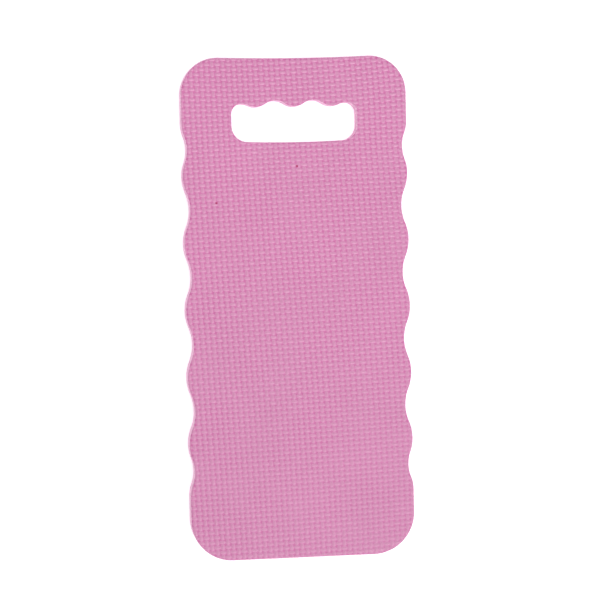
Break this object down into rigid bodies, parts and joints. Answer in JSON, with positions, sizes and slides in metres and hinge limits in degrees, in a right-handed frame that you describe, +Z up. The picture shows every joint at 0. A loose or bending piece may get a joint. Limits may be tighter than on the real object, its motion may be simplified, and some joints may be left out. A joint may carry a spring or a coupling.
{
  "type": "kneeling pad",
  "caption": "Flat foam kneeling pad with a basket-weave face, scalloped long edges, rounded corners and a hand hole with a finger-grip edge.",
  "frame": {"origin": "middle of the pad's underside, on the ground", "axes": "+Y along the pad towards the end with the hand hole, +X across the pad, +Z up from the ground through the face that is knelt on"},
  "size_m": [0.18, 0.4, 0.015],
  "materials": {
    "foam": "matte",
    "bond": "satin"
  },
  "bodies": {
    "root": {"top_sheet": "foam", "bond_film": "bond", "bottom_sheet": "foam"}
  },
  "joints": []
}
